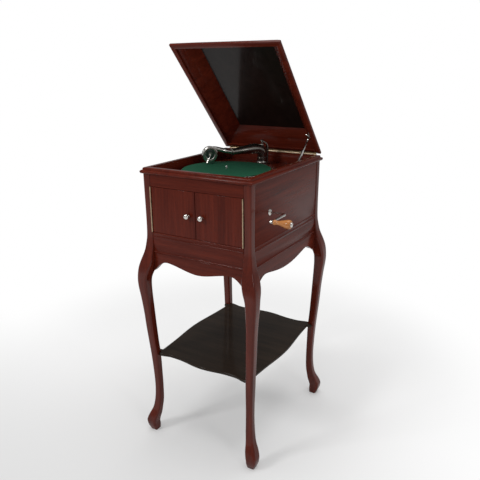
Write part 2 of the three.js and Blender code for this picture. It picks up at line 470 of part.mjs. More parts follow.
put("crank", NICKEL, join(
  tube(crankPath, CRANK.r, 20), rod("x", handleAt, CRANK.x - 3.5, CRANK.x + 3.5, 5.2, 20),
  rod("x", handleAt, CRANK.x + 2, CRANK.handle1 + 1, 3, 20),
  turned([[0, 0.4], [7.5, 0.4], [7, 2], [3, 3], [0, 3.2]].map(([r, out]) => [r, CRANK.handle1 + out]),
    "x", handleAt, 20),
  gear(10, bevel - 4, bevel + 4, shaftAt, 0, "x", 2)));
put("crank_handle", HANDLE_WOOD, turned([[3.06, 0], [6, 0], [8, 3], [8, 6], [6.4, 11], [6.6, 18], [9.2, 29], [12.4, 41],
  [13.5, 49], [12.6, 55], [9.5, 58], [3.06, 58], [3.06, 0]].map(([r, along]) => [r, CRANK.handle0 + along]),
  "x", handleAt, 20));

// ---- spring motor under the board ----
/** A toothed wheel: teeth narrow enough to run with play, the first one at angle phase (radians). */
function gear(teeth, from, to, centre, phase, axis = "z", module = MODULE) {
  const r = (module * teeth) / 2, pitch = (2 * Math.PI) / teeth;
  const outline = Array.from({ length: teeth }, (_, k) =>
    [[-0.27, -1.15], [-0.1, 0.75], [0.1, 0.75], [0.27, -1.15]].map(([share, out]) => {
      const a = phase + (k + share) * pitch;
      return [centre[0] + (r + out * module) * Math.cos(a), centre[1] + (r + out * module) * Math.sin(a)];
    })).flat();
  return prism(outline, axis, from, to);
}
const towards = (a, b) => Math.atan2(b[1] - a[1], b[0] - a[0]);
const toBarrel = towards(MIDDLE, BARREL), toSpindle = towards(MIDDLE, SPINDLE);
const ARBOR = 3.2, ARBOR_ROOM = 3.25, AXLE = 2.2, AXLE_ROOM = 2.26; // shafts and their bores
put("spring_barrel", BRASS, cut(
  join(rod("z", BARREL, 893, 926, 45, 32), gear(40, 926, 930, BARREL, toBarrel + Math.PI)),
  rod("z", BARREL, 890, 923.5, 42.5, 32), rod("z", BARREL, 890, 935, ARBOR_ROOM, 20)));
put("winding_arbor", STEEL, join(rod("z", BARREL, 880.8, 944, ARBOR, 20), gear(20, 881, 885.6, BARREL, 0, "z", 2),
  rod("z", BARREL, 896, 920, 9, 16)));
const coil = Array.from({ length: 55 }, (_, i) => {
  const a = (i / 12) * 2 * Math.PI, r = 10 + (31.5 * i) / 54;
  return [a, r];
});
const coilSide = (d) => coil.map(([a, r]) => [BARREL[0] + (r + d) * Math.cos(a), BARREL[1] + (r + d) * Math.sin(a)]);
put("mainspring", STEEL, prism([...coilSide(0.7), ...coilSide(-0.7).reverse()], "z", 897, 919));
put("intermediate_wheel", BRASS, join(gear(30, 934, 937, MIDDLE, toSpindle - Math.PI / 30),
  gear(8, 925.5, 934, MIDDLE, toBarrel - Math.PI / 8), rod("z", MIDDLE, 887, 944, AXLE, 16)));
put("turntable_spindle", STEEL, join(
  rod("z", SPINDLE, 880, 984, 3.5, 20), turned([[0, 983], [3.5, 984], [3, 987], [0, 988.5]], "z", SPINDLE, 20),
  gear(8, 934, 937, SPINDLE, toSpindle + Math.PI), gear(20, 902, 908, SPINDLE, 0, "z", 1.6),
  rod("z", SPINDLE, hub - 2.5, hub - GAP, 9, 16)));
const GOVERNOR = { x: SPINDLE[0] - 21.6, z: 905, y0: -112, y1: -8 };
put("governor", BRASS, turned([
  [0, GOVERNOR.y0], [2, GOVERNOR.y0], [2, -105], [5, -104], [18, -98], [18, -90], [5, -84], [2, -83], [2, -72],
  [4, -71], [4, -47], [2, -46], [2, -34], [16, -33], [16, -30], [2, -29], [2, GOVERNOR.y1], [0, GOVERNOR.y1],
], "y", [GOVERNOR.x, GOVERNOR.z], 12));
const plateX = [-52, 124], plateY = [-190, 4];
const bracket = (y) => box(GOVERNOR.x - 7, GOVERNOR.x + 7, y - 2, y + 2, 897, 942);
const pillars = [[-44, -182], [116, -182], [116, -30], [44, -4]];
const corner = (y0, y1, z0, z1) => box(plateX[0], plateX[1], y0, y1, z0, z1);
put("motor_frame", IRON, cut(
  join(corner(plateY[0], plateY[1], 941, 945.7), box(20, 124, -190, -40, 886, 890),
    box(-52, 20, -190, -122, 886, 890), box(-14, 44, -80, 4, 882, 886).add(box(36, 52, -40, 4, 882, 890)),
    pillars.map((p) => rod("z", p, 884, 942, 5, 8)), bracket(-108), bracket(-14)),
  rod("z", BARREL, 880, 950, ARBOR_ROOM, 20), rod("z", MIDDLE, 880, 950, AXLE_ROOM, 16),
  rod("z", SPINDLE, 870, 950, 3.555, 20), rod("y", [GOVERNOR.x, GOVERNOR.z], -120, 0, 2.1, 12)));

// ---- horn under the motor, its mouth behind the doors ----
/** A rounded-off rectangle across the duct at y, between two heights. */
const section = (x, halfX, y, z0, z1, r) =>
  [[1, 1, 0], [-1, 1, 90], [-1, -1, 180], [1, -1, 270]].flatMap(([sx, sz, start]) =>
    [0, 45, 90].map((a) => V(
      x + sx * (halfX - r) + r * Math.cos(rad(start + a)), y,
      (z0 + z1) / 2 + sz * ((z1 - z0) / 2 - r) + r * Math.sin(rad(start + a)))));
const slatFront = DOOR.y + DOOR.thick + 0.7, mouth = slatFront + 10.8; // behind the doors
const DUCT = [
  [4, 24, 120, 806, 850, 18], [3, 40, 60, 798, 851, 18], [2, 70, -20, 790, 852, 16],
  [0, 112, -120, 785, 852, 14], [0, 146, mouth + 36, 783, 856, 12], [0, 166, mouth, 783, 922, 12],
];
const WALL = 5;
put("horn", RAW_WOOD, cut(loft(DUCT.map((s) => section(...s))),
  loft(DUCT.map(([x, hx, y, z0, z1, r], i) =>
    section(x, hx - WALL, y + (i === 0) - (i === 5), z0 + WALL, z1 - WALL, r - WALL)))));
const pipe = [...smooth([[4, 176, 940], [4, 176, 900], [4, 171, 860], [4, 152, 835], [4, 130, 828]], 7), V(4, 120.4, 828)];
const elbowFlange = turned([[0, 938], [30, 938], [30, 945.7], [0, 945.7]], "z", [ARM.x, ARM.y], 24);
put("horn_elbow", IRON, cut(join(tube(pipe, 21, 14), elbowFlange),
  tube([V(4, 176, 948), ...pipe.slice(1, -1), V(4, 119, 828)], 16, 14)));
const slats = [-2, -1, 0, 1, 2].map((k) => k * 25 + 853);
const slat = (z) => prism(
  [[0.8, -5], [3.3, -5], [9.3, 5], [6.8, 5]].map(([y, up]) => [slatFront + y, z + up]), "x", -162, 162);
put("horn_slats", MAHOGANY, join(
  cut(box(-172, 172, slatFront, mouth - GAP, 782, 926), box(-161, 161, slatFront - 5, mouth + 4, 792, 914)),
  slats.map(slat)));

// the origin is the middle of the part's box, on the floor
const bounds = new THREE.Box3().setFromObject(pieces);
const middle = bounds.getCenter(V(0, 0, 0));
pieces.position.set(-middle.x, -middle.y, -bounds.min.z);

export default pieces;
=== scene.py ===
# %% [markdown]
# A wind-up gramophone in a mahogany cabinet on four tall cabriole legs, its lid open.
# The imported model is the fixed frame: every body, hinge and clearance is already settled there.
# This lesson dresses it. Flat boards get soft edges, round pieces get smooth surfaces, and every
# piece gets a finish with grain, pores, polish or nap at its real size.

# %% The frame
import json
import math

import bmesh
import bpy
import numpy as np
from mathutils import Matrix, Vector


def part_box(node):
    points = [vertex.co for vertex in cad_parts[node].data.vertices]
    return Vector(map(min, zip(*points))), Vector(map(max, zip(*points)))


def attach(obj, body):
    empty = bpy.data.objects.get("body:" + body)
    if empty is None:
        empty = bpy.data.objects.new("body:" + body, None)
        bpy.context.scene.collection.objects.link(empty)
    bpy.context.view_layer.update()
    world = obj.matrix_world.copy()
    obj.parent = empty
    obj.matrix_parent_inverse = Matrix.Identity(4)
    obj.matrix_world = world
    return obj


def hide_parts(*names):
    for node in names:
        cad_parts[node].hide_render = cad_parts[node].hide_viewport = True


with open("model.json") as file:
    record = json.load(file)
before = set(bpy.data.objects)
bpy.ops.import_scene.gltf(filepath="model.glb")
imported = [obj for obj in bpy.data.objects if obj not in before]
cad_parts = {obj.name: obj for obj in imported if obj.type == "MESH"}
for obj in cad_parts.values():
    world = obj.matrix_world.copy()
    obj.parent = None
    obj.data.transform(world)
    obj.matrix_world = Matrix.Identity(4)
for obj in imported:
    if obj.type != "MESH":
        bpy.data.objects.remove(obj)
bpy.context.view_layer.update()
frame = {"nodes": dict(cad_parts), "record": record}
MM = 0.001
record = frame["record"]
slot_of = {part["node"]: part["material_slot"] for part in record["subparts"]}
body_of = {node: body for body, nodes in record["behaviour"]["bodies"].items() for node in nodes}


def corners(node):
    """The lowest and the highest corner of a node's box, as two arrays in metres."""
    return tuple(np.array(corner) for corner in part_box(node))


case_low, case_high = corners("rim_frame")
CASE_X = (case_low[0] + case_high[0]) / 2
print("the case is centred on x =", round(CASE_X / MM, 1), "mm")

# %% [markdown]
# The camera stands where the photographer stood: front right of the cabinet and a little above its
# lid. Its place and focal length were fitted to the case's corners, the rim and the turntable, so a
# piece that sits right in the frame also sits right in the picture.

# %% The camera
AZIMUTH, PITCH, ROLL = (math.radians(a) for a in (30.937, 17.873, -0.401))
EYE = Vector((CASE_X + 0.96615, -1.59241, 1.30858))
FOCAL_PIXELS, PICTURE_PIXELS = 542.08, 480
SENSOR_WIDTH = 36

forward = Vector((-math.sin(AZIMUTH) * math.cos(PITCH), math.cos(AZIMUTH) * math.cos(PITCH),
                  -math.sin(PITCH)))
level = Vector((math.cos(AZIMUTH), math.sin(AZIMUTH), 0))
upright = level.cross(forward)
camera_right = math.cos(ROLL) * level + math.sin(ROLL) * upright
camera_up = math.cos(ROLL) * upright - math.sin(ROLL) * level
turned = Matrix((camera_right, camera_up, -forward)).transposed().to_4x4()
camera = bpy.data.objects.new("camera", bpy.data.cameras.new("camera"))
camera.data.sensor_width = SENSOR_WIDTH
camera.data.lens = SENSOR_WIDTH * FOCAL_PIXELS / PICTURE_PIXELS
camera.matrix_world = Matrix.Translation(EYE) @ turned
bpy.context.collection.objects.link(camera)
bpy.context.scene.camera = camera
print("a lens of", round(camera.data.lens, 1), "mm at a height of", round(EYE.z, 2), "m")

# %% [markdown]
# Shader maths reads best as maths. A socket is wrapped so that + and * add the Math nodes, and one
# function makes any other node from its type, its settings and what goes into its sockets.

# %% Shader helpers
class Socket:
    """A value in a material's node tree, on which sums and products can be written."""

    def __init__(self, tree, out):
        self.tree, self.out = tree, out

    def maths(self, operation, other, swapped=False):
        """A Math node on this value and another one, which comes first where they are swapped."""
        pair = (other, self) if swapped else (self, other)
        return make(self.tree, "Math", {"operation": operation}, **{"0": pair[0], "1": pair[1]})

    def __add__(self, other):
        return self.maths("ADD", other)

    def __radd__(self, other):
        return self.maths("ADD", other, True)

    def __sub__(self, other):
        return self.maths("SUBTRACT", other)

    def __rsub__(self, other):
        return self.maths("SUBTRACT", other, True)

    def __mul__(self, other):
        return self.maths("MULTIPLY", other)

    def __rmul__(self, other):
        return self.maths("MULTIPLY", other, True)


def make(tree, kind, settings=None, output=0, **sockets):
    """A node of a kind, its settings set first, then its sockets filled by value or by link."""
    node = tree.nodes.new("ShaderNode" + kind)
    for name, value in (settings or {}).items():
        if name == "stops":
            ramp = node.color_ramp
            while len(ramp.elements) < len(value):
                ramp.elements.new(0.5)
            for element, (place, colour) in zip(ramp.elements, value):
                element.position, element.color = place, (*colour, 1)
        else:
            setattr(node, name, value)
    for name, value in sockets.items():
        socket = node.inputs[int(name) if name.isdigit() else name.replace("_", " ")]
        if isinstance(value, Socket):
            tree.links.new(value.out, socket)
        else:
            socket.default_value = value
    return Socket(tree, node.outputs[output])


def material(name):
    """A new material with an empty node tree, and that tree."""
    made = bpy.data.materials.new(name)
    made.use_nodes = True
    made.node_tree.nodes.clear()
    return made, made.node_tree


def surface_of(tree, **sockets):
    """The Principled shader that the finish ends in."""
    shader = make(tree, "BsdfPrincipled", **sockets)
    tree.links.new(shader.out, tree.nodes.new("ShaderNodeOutputMaterial").inputs["Surface"])


OBJECT_PLACE = 3  # the output of Texture Coordinate that gives the place in the object


def noise_along(tree, axis, across, along, detail=4.0, roughness=0.6, distortion=0.0):
    """Noise in streaks: across and along are how many waves a metre it has off and along the axis."""
    scale = [across, across, across]
    scale["XYZ".index(axis)] = along
    place = make(tree, "TexCoord", output=OBJECT_PLACE)
    stretched = make(tree, "Mapping", Vector=place, Scale=scale)
    return make(tree, "TexNoise", Vector=stretched, Scale=1.0, Detail=detail,
                Roughness=roughness, Distortion=distortion)


def ramp_between(tree, value, low, high, start=0.0, end=1.0):
    """A soft step: start below low, end above high, and a smooth S between them."""
    return make(tree, "MapRange", {"interpolation_type": "SMOOTHSTEP"}, Value=value,
                **{"1": low, "2": high, "3": start, "4": end})


def blend_colour(tree, share, first, second):
    """Between two colours (or colour sockets) by a share from 0 to 1."""
    ends = [c if isinstance(c, Socket) else (*c, 1) for c in (first, second)]
    return make(tree, "Mix", {"data_type": "RGBA"}, output=2,
                **{"0": share, "6": ends[0], "7": ends[1]})


print("the shader helpers are ready")

# %% [markdown]
# French-polished mahogany is red-brown wood with dark pores as short dashes along the grain, broad
# bands of lighter and darker growth, and a hard glossy film on top. The bands come from noise
# stretched along the grain, the pores from finer noise cut off at a threshold, and the film is the
# shader's coat. Old polish has worn a little dull in patches, so roughness has its own slow noise.
# The case has lost most of its film, and the carved legs have kept more, so theirs is stronger.

# %% Wood finishes
PORE_DEPTH = 0.35
PORE_SHADE = 0.25
WORN_SPREAD = 0.16


def polished_wood(name, axis, dark, light, roughness=0.24, coat=0.15):
    """Wood along an axis: bands and fibre from dark to light, pores darker still, worn polish."""
    made, tree = material(name)
    bands = noise_along(tree, axis, 38, 2.2, detail=3.0, distortion=0.7)
    fibre = noise_along(tree, axis, 420, 14, detail=3.0)
    pores = noise_along(tree, axis, 1500, 60, detail=1.0)
    between = [(a + b) / 2 for a, b in zip(dark, light)]
    figure = make(tree, "ValToRGB", {"stops": [(0.32, dark), (0.5, between), (0.68, light)]},
                  Fac=bands * 0.7 + fibre * 0.3)
    pore = ramp_between(tree, pores, 0.58, 0.7)
    colour = blend_colour(tree, pore * PORE_DEPTH, figure, [c * PORE_SHADE for c in dark])
    worn = noise_along(tree, axis, 9, 5, detail=2.0)
    height = fibre * 0.5 - pore * 0.6
    bump = make(tree, "Bump", Height=height, Strength=0.18, Distance=0.0002)
    surface_of(tree, Base_Color=colour, Normal=bump,
               Roughness=worn * WORN_SPREAD + (roughness - WORN_SPREAD / 2),
               Coat_Weight=coat, Coat_Roughness=0.1, Specular_IOR_Level=0.06)
    return made


RED_BROWN = (0.054, 0.0066, 0.0034), (0.126, 0.0178, 0.0082)
NEAR_BLACK_BROWN = (0.016, 0.0105, 0.007), (0.034, 0.022, 0.0145)
NEAR_BLACK = (0.008, 0.005, 0.004), (0.016, 0.009, 0.0075)
PALE_DEAL = (0.22, 0.13, 0.065), (0.42, 0.27, 0.14)
HONEY = (0.36, 0.13, 0.035), (0.62, 0.27, 0.09)
mahogany = {axis: polished_wood("mahogany along " + axis, axis, *RED_BROWN) for axis in "XYZ"}
leg_mahogany = polished_wood("mahogany of the legs", "Z", *RED_BROWN, roughness=0.2, coat=0.45)
dark_shelf = polished_wood("dark shelf", "X", *NEAR_BLACK_BROWN, roughness=0.42)
lid_black = polished_wood("lid panel", "Y", *NEAR_BLACK, roughness=0.34, coat=0.35)
raw_wood = polished_wood("plain wood", "X", *PALE_DEAL, roughness=0.65, coat=0.0)
honey_wood = polished_wood("honey handle", "X", *HONEY, roughness=0.3, coat=0.6)
print("wood finishes: mahogany three ways, legs, shelf, lid panel, plain wood and handle")

# %% [markdown]
# The tone arm, knobs and crank are nickel plate: bright, slightly warm, with fine wiping scratches and
# cloudier patches where the plate has dulled. The arm's tube and base get a darker copy of the nickel,
# which is painted reflection of the dark lid round them. The hinges and motor wheels are brass. One
# function makes them all from a colour, the stain that dulls it and a base roughness.

# %% Metal finishes
def plated_metal(name, colour, stain, roughness, metallic=1.0):
    """Metal that goes from its colour to its stain in soft clouds, with fine wiping marks along X."""
    made, tree = material(name)
    cloud = noise_along(tree, "Z", 55, 55)
    wipe = noise_along(tree, "X", 2600, 180, detail=2.0)
    tarnish = ramp_between(tree, cloud, 0.5, 0.75)
    bump = make(tree, "Bump", Height=wipe, Strength=0.05, Distance=0.0001)
    surface_of(tree, Base_Color=blend_colour(tree, tarnish * 0.7, colour, stain),
               Roughness=tarnish * 0.18 + wipe * 0.06 + roughness, Metallic=metallic, Normal=bump)
    return made


nickel = plated_metal("nickel plate", (0.72, 0.70, 0.66), (0.42, 0.39, 0.34), 0.14)
# A darker copy of the nickel for the arm's tube and base: painted reflection of the dark lid they
# mirror.
nickel_painted_dark = plated_metal("arm nickel with painted reflection", (0.34, 0.32, 0.29), (0.15, 0.13, 0.11), 0.2)
brass = plated_metal("brass", (0.62, 0.40, 0.14), (0.25, 0.15, 0.06), 0.28)
brass_pale = plated_metal("worn hinge brass", (0.56, 0.42, 0.28), (0.22, 0.13, 0.07), 0.36)
# The lid hinge's brass is darker still, with a near-black stain.
brass_dark = plated_metal("darkened brass", (0.44, 0.36, 0.26), (0.07, 0.035, 0.02), 0.4)
steel = plated_metal("steel", (0.62, 0.62, 0.60), (0.36, 0.34, 0.31), 0.22)
black_iron = plated_metal("black iron", (0.03, 0.03, 0.03), (0.05, 0.045, 0.04), 0.5,
                          metallic=0.2)
print("metal finishes: two of nickel, three of brass, steel and iron")

# %% [markdown]
# Two finishes are neither wood nor metal. Mica is a thin dark sheet with a cloudy green cast under a
# gloss, so it is plain noise under a coat. Felt is matted wool: it has no gloss, and its look comes
# from fine fibres that stand at random and from slow patches where it is worn paler.

# %% Mica and felt finishes
def mica_finish():
    """A dark disc with a cloudy green cast under a clear gloss."""
    made, tree = material("mica")
    cloud = noise_along(tree, "Z", 260, 260, detail=3.0)
    colour = blend_colour(tree, cloud, (0.010, 0.022, 0.017), (0.035, 0.065, 0.050))
    surface_of(tree, Base_Color=colour, Roughness=cloud * 0.1 + 0.12, Coat_Weight=0.5)
    return made


def felt_finish():
    """Matted wool: mottled green, no gloss, a nap of fine fibres at random, paler in places."""
    made, tree = material("green felt")
    mottle = noise_along(tree, "Z", 90, 90, detail=5.0, roughness=0.7)
    nap = noise_along(tree, "Z", 2400, 2400, detail=3.0)
    base = blend_colour(tree, mottle, (0.006, 0.053, 0.026), (0.018, 0.100, 0.054))
    colour = blend_colour(tree, nap * 0.5, base, (0.016, 0.088, 0.048))
    bump = make(tree, "Bump", Height=nap + mottle * 0.6, Strength=0.7, Distance=0.0006)
    surface_of(tree, Base_Color=colour, Roughness=0.95, Normal=bump, Specular_IOR_Level=0.1)
    return made


finish_of_slot = {
    "mahogany": mahogany["Z"], "dark_wood": dark_shelf, "lid_panel": lid_black,
    "raw_wood": raw_wood, "handle_wood": honey_wood, "brass": brass, "nickel": nickel,
    "steel": steel, "iron": black_iron, "felt": felt_finish(), "mica": mica_finish(),
}
GRAIN_ALONG = {
    "side_panel_left": "Y", "side_panel_right": "Y", "apron_left": "Y", "apron_right": "Y",
    "back_panel": "X", "front_top_rail": "X", "front_lower_rail": "X", "apron_front": "X",
    "apron_rear": "X", "rim_frame": "Y", "motor_board": "X", "lid_rim": "X",
    "lid_slopes": "X", "horn_slats": "X",
}


def finish_for(node):
    """A node's finish: paler brass on the door hinges, darker brass on the lid hinge, a board's own way
    of grain, or else its slot's.
    """
    if node.startswith("door_hinge"):
        return brass_pale
    if node.startswith("lid_hinge"):
        return brass_dark
    return mahogany[GRAIN_ALONG[node]] if node in GRAIN_ALONG else finish_of_slot[slot_of[node]]


for node, thing in frame["nodes"].items():
    thing.data.materials.clear()
    thing.data.materials.append(finish_for(node))
print(len(frame["nodes"]), "CAD nodes have a finish")

# %% [markdown]
# A board is never quite sharp: its arrises are eased with sandpaper, and that thin rounded edge is
# what catches the light. The CAD mesh stays as it is. A copy is merged, its coplanar triangles are
# joined into whole faces, and a Bevel modifier rounds what is left of the edges.

# %% Easing the edges of a node
MERGE = 1e-6
FLAT_WITHIN = math.radians(0.5)


def in_place_of(node, mesh):
    """A piece with a mesh, which rides where a node did and stands for it."""
    piece = bpy.data.objects.new(node + "_finished", mesh)
    bpy.context.collection.objects.link(piece)
    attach(piece, body_of[node])
    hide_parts(node)
    return piece


def soft_shaded(mesh, crease):
    """Smooth shading, apart from edges that turn by more than crease degrees."""
    mesh.shade_smooth()
    mesh.set_sharp_from_angle(angle=math.radians(crease))


def eased(node, ease, crease=50):
    """A copy of a node with whole faces, and with edges rounded by ease millimetres."""
    mesh = frame["nodes"][node].data.copy()
    bm = bmesh.new()
    bm.from_mesh(mesh)
    bmesh.ops.remove_doubles(bm, verts=bm.verts, dist=MERGE)
    bmesh.ops.dissolve_limit(bm, angle_limit=FLAT_WITHIN, verts=bm.verts, edges=bm.edges)
    bm.to_mesh(mesh)
    bm.free()
    soft_shaded(mesh, crease)
    piece = in_place_of(node, mesh)
    if ease:
        bevel = piece.modifiers.new("eased edges", "BEVEL")
        bevel.width, bevel.segments = ease * MM, 2
        bevel.limit_method, bevel.angle_limit = "ANGLE", math.radians(crease)
    return piece


EASED_BOARDS = {
    "side_panel_left": 0.4, "side_panel_right": 0.4, "back_panel": 0.4, "front_top_rail": 0.5,
    "front_lower_rail": 0.5, "apron_front": 1.2, "apron_rear": 1.2, "apron_left": 1.2,
    "apron_right": 1.2, "lower_shelf": 2.0, "motor_board": 0.8, "door_left": 0.9,
    "door_right": 0.9, "lid_rim": 1.2, "lid_slopes": 0.8, "lid_top_panel": 0.4, "rim_frame": 0.8,
}
boards = {node: eased(node, ease) for node, ease in EASED_BOARDS.items()}
print("eased", len(boards), "boards")

# %% [markdown]
# The lid's top panel is near-black on its inner face alone, and its outer face is polished like the
# slopes round it. So the panel gets mahogany as a second material, on the faces that look outwards.

# %% The outer face of the lid's panel
LID_ANGLE = math.radians(47.5)
lid_outward = Vector((0, math.sin(LID_ANGLE), math.cos(LID_ANGLE)))
panel_mesh = boards["lid_top_panel"].data
panel_mesh.materials.append(mahogany["X"])
for face in panel_mesh.polygons:
    face.material_index = int(face.normal.dot(lid_outward) > 0.5)
print("outer faces:", sum(face.material_index for face in panel_mesh.polygons))

# %% [markdown]
# Turned and bent metal needs no edge rounding: it needs soft shading over its small facets. The same
# copy does that with no bevel, on the hinges, the stay, the crank and the spindle.

# %% Soft shading on turned and bent metal
SOFT_METAL = [
    "door_hinge_fixed_leaf_left", "door_hinge_fixed_leaf_right", "door_hinge_door_leaf_left",
    "door_hinge_door_leaf_right", "lid_hinge_fixed_leaf", "lid_hinge_lid_leaf", "lid_stay_bar",
    "lid_stay_bracket", "lid_stay_track", "turntable_spindle", "crank", "needle_bar",
    "needle_screw", "needle", "brake_lever",
]
for node in SOFT_METAL:
    eased(node, ease=0, crease=40)
print("softened", len(SOFT_METAL), "metal pieces")

# %% [markdown]
# The round pieces that the eye rests on get surfaces of their own. Each is a grid of points worked out
# at once: rings along one direction, points round each ring. One helper draws a smooth curve through a
# few chosen points, one softens the corners of a profile, one turns a profile round an axis, and one
# carries a ring along a path. The last turns the grids into a closed mesh that rides where its node
# did.

# %% Surface helpers
def smooth_curve(points, count):
    """Points on a smooth curve: cubic Hermite pieces between the given points, with the slope at
    each point from its two neighbours, over the square root of the distance between points."""
    p = np.asarray(points, float)
    t = np.concatenate([[0], np.cumsum(np.linalg.norm(np.diff(p, axis=0), axis=1) ** 0.5)])
    slope = np.gradient(p, t, axis=0)
    s = np.linspace(0, t[-1], count)
    k = np.clip(np.searchsorted(t, s, side="right") - 1, 0, len(t) - 2)
    step = (t[k + 1] - t[k])[:, None]
    u = (s - t[k])[:, None] / step
    start = (1 + 2 * u) * (1 - u) ** 2 * p[k] + u * (1 - u) ** 2 * step * slope[k]
    return start + u ** 2 * (3 - 2 * u) * p[k + 1] + u ** 2 * (u - 1) * step * slope[k + 1]


LONGEST_REACH = 0.45  # of the way to the next corner


def softened(profile, size):
    """The profile with each corner swapped for a short parabola that starts and ends size away."""
    p = np.asarray(profile, float)
    closed = np.allclose(p[0], p[-1])
    core = p[:-1] if closed else p[1:-1]
    before = np.roll(core, 1, 0) if closed else p[:-2]
    after = np.roll(core, -1, 0) if closed else p[2:]

    def reach(neighbour):
        """The place on the way to a neighbour where the parabola starts or ends."""
        way = neighbour - core
        share = np.minimum(size / np.linalg.norm(way, axis=1, keepdims=True), LONGEST_REACH)
        return (core + way * share)[:, None]

    t = np.linspace(0, 1, 5)[None, :, None]
    arcs = (1 - t) ** 2 * reach(before) + 2 * t * (1 - t) * core[:, None] + t ** 2 * reach(after)
    arcs = arcs.reshape(-1, 2)
    return np.vstack([arcs, arcs[:1]]) if closed else np.vstack([p[:1], arcs, p[-1:]])


def whole_turn(around):
    """Even angles once round, shaped to go along the points of each ring."""
    return np.linspace(0, 2 * np.pi, around, endpoint=False)[None, :, None]


def lathed(profile, origin, axis, around=96):
    """Rings of radius r at height h: origin + h axis + r (cos a across + sin a side)."""
    axis = np.asarray(axis, float)
    across = np.cross(axis, (0, 0, 1) if abs(axis[2]) < 0.9 else (1, 0, 0))
    across = across / np.linalg.norm(across)
    side = np.cross(axis, across)
    a = whole_turn(around)
    r, h = (np.asarray(profile)[:, k, None, None] * MM for k in (0, 1))
    return np.asarray(origin) + h * axis + r * (np.cos(a) * across + np.sin(a) * side)


def piped(stations, count, around=40):
    """A round bar: a smooth curve through (x, y, z, radius) stations, with a ring square to it at
    each point. Each ring is turned from the last one only as far as the path turns."""
    line = smooth_curve(stations, count)
    path, radii = line[:, :3], line[:, 3]
    along = np.gradient(path, axis=0)
    along /= np.linalg.norm(along, axis=1, keepdims=True)
    across = np.empty_like(path)
    last = np.cross(along[0], (0, 1, 0))
    for k, way in enumerate(along):
        last = last - way * last.dot(way)
        last = last / np.linalg.norm(last)
        across[k] = last
    side = np.cross(along, across)
    a = whole_turn(around)
    ring = np.cos(a) * across[:, None] + np.sin(a) * side[:, None]
    return path[:, None] + radii[:, None, None] * ring


def finished(node, grids, finish, crease=35):
    """One piece from grids of rings, closed at both ends, in the place of a node."""
    points, faces, start = [], [], 0
    for grid in grids:
        index = start + np.arange(grid.shape[0] * grid.shape[1]).reshape(grid.shape[:2])
        near, far = index[:-1], index[1:]
        quads = np.stack([near, np.roll(near, -1, 1), np.roll(far, -1, 1), far], -1)
        faces += quads.reshape(-1, 4).tolist()
        if not np.allclose(grid[0], grid[-1]):
            faces += [index[0][::-1].tolist(), index[-1].tolist()]
        points.append(grid.reshape(-1, 3))
        start += index.size
    mesh = bpy.data.meshes.new(node + "_finished")
    mesh.from_pydata(np.vstack(points).tolist(), [], faces)
    bm = bmesh.new()
    bm.from_mesh(mesh)
    bmesh.ops.remove_doubles(bm, verts=bm.verts, dist=MERGE)
    bmesh.ops.recalc_face_normals(bm, faces=bm.faces)
    bm.to_mesh(mesh)
    bm.free()
    soft_shaded(mesh, crease)
    mesh.materials.append(finish)
    return in_place_of(node, mesh)


print("the surface helpers are ready")

# %% [markdown]
# A cabriole leg is sawn from a thick plank and rounded by hand, so its section is a rounded square that
# slides out along the corner's diagonal at the knee and back in at the ankle. The frame has that square
# at about thirty heights. Here its middle, half width and corner radius are read from those rings and
# run on one smooth curve from foot to stile, which takes the facets out and leaves the place as it is.

# %% The legs
LEG_RINGS, CORNER_POINTS = 220, 9
CORNER_SIGNS = np.array([[1, 1], [-1, 1], [-1, -1], [1, -1]])
CORNER_STARTS = (0, 90, 180, 270)


def leg_stations(node):
    """One row for each height of a leg: height, middle x, middle y, half width, corner radius."""
    mesh = frame["nodes"][node].data
    co = np.empty(len(mesh.vertices) * 3, np.float32)
    mesh.vertices.foreach_get("co", co)
    co = np.unique(np.round(co.reshape(-1, 3).astype(float), 6), axis=0)
    rows = []
    for z in np.unique(np.round(co[:, 2], 4)):
        ring = co[np.abs(co[:, 2] - z) < 1e-4, :2]
        low, high = ring.min(0), ring.max(0)
        on_face = ring[np.abs(ring[:, 0] - high[0]) < 2e-5, 1]
        half_width = (high[0] - low[0]) / 2
        corner_radius = (high[1] - low[1] - np.ptp(on_face)) / 2
        rows.append((z, *(low + high) / 2, half_width, corner_radius))
    return rows


def leg_surface(node):
    """Rounded squares on a smooth curve through the stations: at each corner a quarter circle,
    middle + sign (half width - radius) + radius (cos a, sin a), kept inside the node's box."""
    line = smooth_curve(leg_stations(node), LEG_RINGS)
    z, middle = line[:, 0, None, None], line[:, None, 1:3]
    half, radius = line[:, 3, None, None], line[:, 4, None, None]
    corner = np.repeat(CORNER_SIGNS, CORNER_POINTS, axis=0)
    quarters = [np.linspace(start, start + 90, CORNER_POINTS) for start in CORNER_STARTS]
    a = np.radians(np.concatenate(quarters))
    turn = np.stack([np.cos(a), np.sin(a)], -1)
    flat = middle + corner[None] * (half - radius) + turn[None] * radius
    grid = np.concatenate([flat, np.broadcast_to(z, (*flat.shape[:2], 1))], -1)
    return np.clip(grid, *corners(node))


for node in ("leg_front_left", "leg_front_right", "leg_rear_left", "leg_rear_right"):
    finished(node, [leg_surface(node)], leg_mahogany, crease=60)
print("four legs are smooth, with", LEG_RINGS, "rings each")

# %% [markdown]
# Each knob is nickel, turned to a ball on a short neck. The middle of its node's box gives the axis and
# the door's face gives where it starts.

